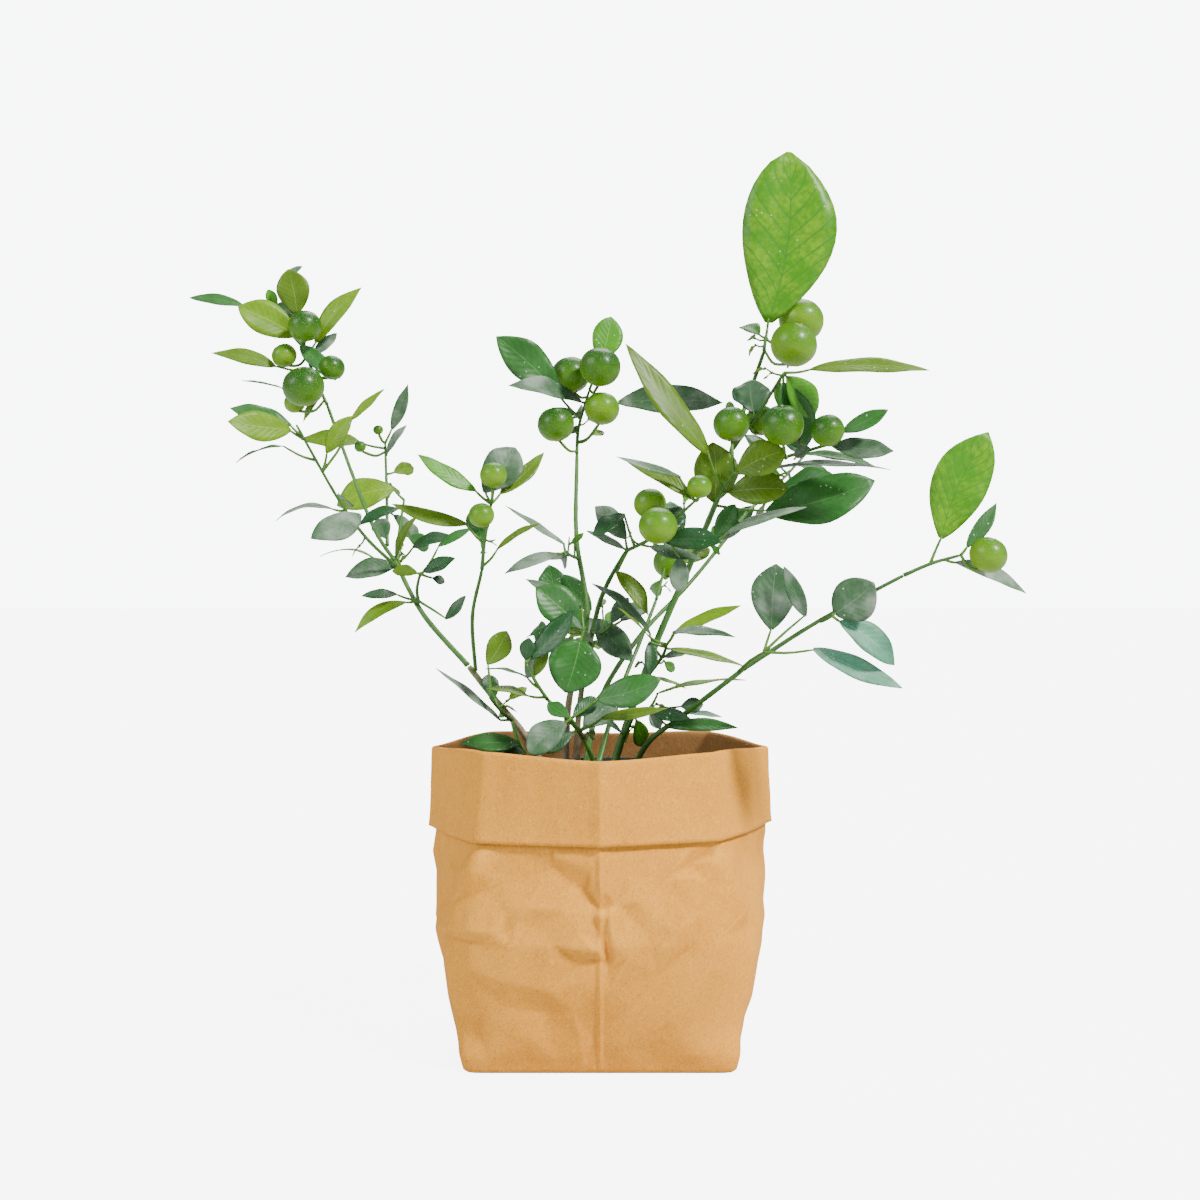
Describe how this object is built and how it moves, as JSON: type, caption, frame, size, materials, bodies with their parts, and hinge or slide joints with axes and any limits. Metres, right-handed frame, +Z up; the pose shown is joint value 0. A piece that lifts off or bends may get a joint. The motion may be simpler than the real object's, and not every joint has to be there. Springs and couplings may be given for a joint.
{
  "type": "calamondin orange tree",
  "caption": "Young calamondin orange tree with green fruit, in a black nursery pot inside a kraft paper bag with a folded cuff.",
  "frame": {"origin": "middle of the bag's flat underside, on the surface that it stands on", "axes": "+Z up, -Y towards the front, +X to the right as seen from the front"},
  "size_m": [0.3699, 0.2365, 0.4034],
  "materials": {
    "kraft_paper": "matt washable kraft paper with soft creases",
    "black_plastic": "satin black moulded pot",
    "potting_mix": "damp dark brown crumbs and bark chips",
    "bark": "olive brown young bark, greener towards the tips",
    "foliage": "satin leaves, yellow green to dusty grey green",
    "fruit_skin": "glossy green citrus peel with fine pores"
  },
  "bodies": {
    "root": {"kraft_bag": "kraft_paper", "folded_cuff": "kraft_paper", "nursery_pot": "black_plastic", "potting_mix": "potting_mix", "stem_left": "bark", "bough_left": "bark", "upright_left": "bark", "bough_left_top": "bark", "stem_centre": "bark", "stem_twin": "bark", "stem_mid": "bark", "bough_top": "bark", "stem_back": "bark", "stem_right": "bark", "arm_right": "bark", "stem_front": "bark", "stem_rear": "bark", "cut_stub": "bark", "left_top_spray": "foliage", "left_low_spray": "foliage", "left_twig_spray": "foliage", "left_inner_spray": "foliage", "left_under_spray": "foliage", "left_mid_spray": "foliage", "low_left_spray": "foliage", "centre_top_spray": "foliage", "centre_mid_spray": "foliage", "heart_spray": "foliage", "centre_right_spray": "foliage", "centre_low_spray": "foliage", "right_heart_spray": "foliage", "right_low_spray": "foliage", "right_head_spray": "foliage", "right_fruit_spray": "foliage", "top_spray": "foliage", "back_right_spray": "foliage", "arm_inner_spray": "foliage", "arm_outer_spray": "foliage", "arm_tip_spray": "foliage", "low_right_spray": "foliage", "low_centre_spray": "foliage", "low_front_spray": "foliage", "front_left_spray": "foliage", "rear_spray": "foliage", "rear_left_spray": "foliage"}
  },
  "joints": []
}
